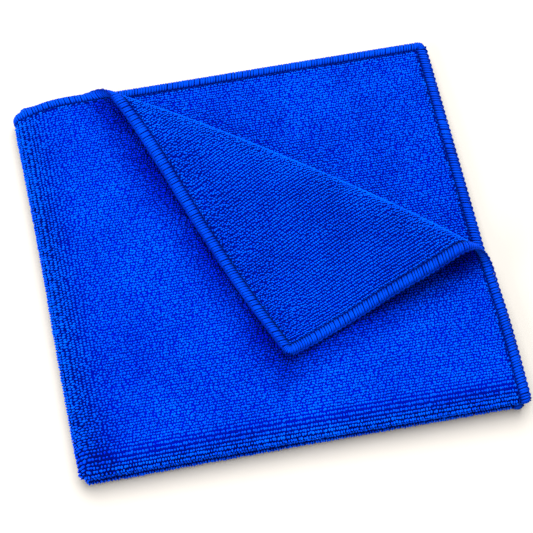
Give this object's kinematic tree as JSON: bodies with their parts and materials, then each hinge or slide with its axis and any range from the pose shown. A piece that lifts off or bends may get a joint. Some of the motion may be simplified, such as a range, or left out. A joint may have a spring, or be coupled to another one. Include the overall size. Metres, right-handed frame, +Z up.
{
  "type": "microfibre cloth",
  "caption": "Blue microfibre cleaning cloth with an overlocked edge, folded in quarters, its top corner turned back.",
  "frame": {"origin": "middle of the folded cloth's box, on the surface that it lies on", "axes": "+X from the left fold to the free right edge, +Y from the near fold to the free back edge, +Z up"},
  "size_m": [0.201, 0.1894, 0.0304],
  "materials": {
    "blue_microfibre": "looped microfibre pile, matt with a slight sheen, and overlock thread of the same blue"
  },
  "bodies": {
    "root": {"cloth": "blue_microfibre"}
  },
  "joints": []
}
